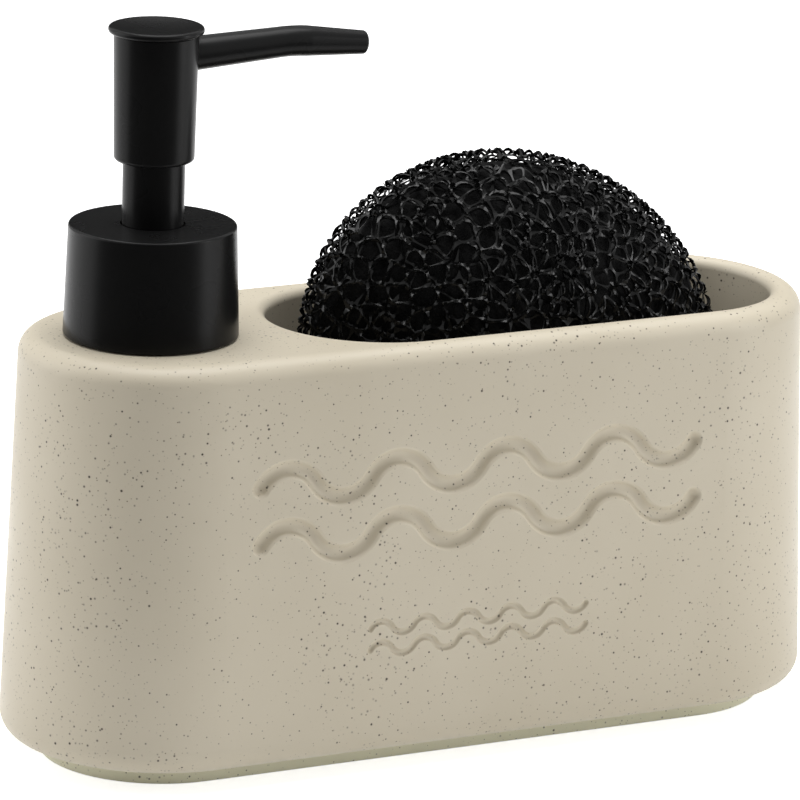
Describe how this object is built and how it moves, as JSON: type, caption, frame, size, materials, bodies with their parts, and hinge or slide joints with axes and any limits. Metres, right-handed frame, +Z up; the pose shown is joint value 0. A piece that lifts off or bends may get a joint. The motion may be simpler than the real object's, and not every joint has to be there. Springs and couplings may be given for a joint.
{
  "type": "soap pump caddy",
  "caption": "Free-standing ceramic caddy with a soap reservoir, a screw-on press pump with a long spout, and an open well holding a round scouring pad.",
  "frame": {"origin": "centre of the foot ring's underside, on the surface that the caddy stands on", "axes": "+X along the body from the pump end to the pad well, +Y to the back, +Z up"},
  "size_m": [0.181, 0.0656, 0.1532],
  "materials": {
    "speckled_glaze": "satin",
    "black_plastic": "satin",
    "natural_plastic": "satin",
    "clear_tube": "satin",
    "soft_plastic": "satin",
    "seal_rubber": "matte",
    "spring_steel": "polished",
    "ball_glass": "gloss",
    "pad_foam": "gloss"
  },
  "bodies": {
    "caddy": {"ceramic_body": "speckled_glaze", "neck_insert": "natural_plastic", "neck_seal": "seal_rubber"},
    "pump_unit": {"pump_housing": "natural_plastic", "housing_gasket": "seal_rubber", "guide_tube": "black_plastic", "ball_retainer": "natural_plastic", "dip_tube": "clear_tube", "return_spring": "spring_steel"},
    "collar": {"closure": "natural_plastic", "collar_shell": "black_plastic"},
    "plunger": {"piston_rod": "natural_plastic", "piston_seat": "natural_plastic"},
    "head": {"head_barrel": "black_plastic", "button_cap": "black_plastic", "actuator_core": "natural_plastic", "spout": "black_plastic"},
    "piston": {"piston": "soft_plastic"},
    "ball": {"check_ball": "ball_glass"},
    "pad": {"scouring_pad": "pad_foam"}
  },
  "joints": [
    {"name": "pump_lift", "type": "slide", "parent": "caddy", "child": "pump_unit", "axis": [0, 0, 1], "range_m": [0, 0.00423]},
    {"name": "collar_turn", "type": "hinge", "parent": "pump_unit", "child": "collar", "pos_m": [-0.0609, 0, 0.1], "axis": [0, 0, 1], "range_deg": [0, 361]},
    {"name": "pump_press", "type": "slide", "parent": "pump_unit", "child": "plunger", "axis": [0, 0, -1], "range_m": [0, 0.0115], "stiffness_N_per_m": 450, "springref_m": -0.008, "deforming": ["return_spring"]},
    {"name": "head_turn", "type": "hinge", "parent": "plunger", "child": "head", "pos_m": [-0.0609, 0, 0.1], "axis": [0, 0, 1], "continuous": true},
    {"name": "piston_slip", "type": "slide", "parent": "plunger", "child": "piston", "axis": [0, 0, 1], "range_m": [0, 0.0012]},
    {"name": "ball_lift", "type": "slide", "parent": "pump_unit", "child": "ball", "axis": [0, 0, 1], "range_m": [0, 0.0015]},
    {"name": "pad_lift", "type": "slide", "parent": "caddy", "child": "pad", "axis": [0.2873, 0, 0.9578], "range_m": [0, 0.064]}
  ],
  "couplings": [
    {"joint": "collar_turn", "follows": "pump_lift", "rad_per_m": 1485.4}
  ]
}
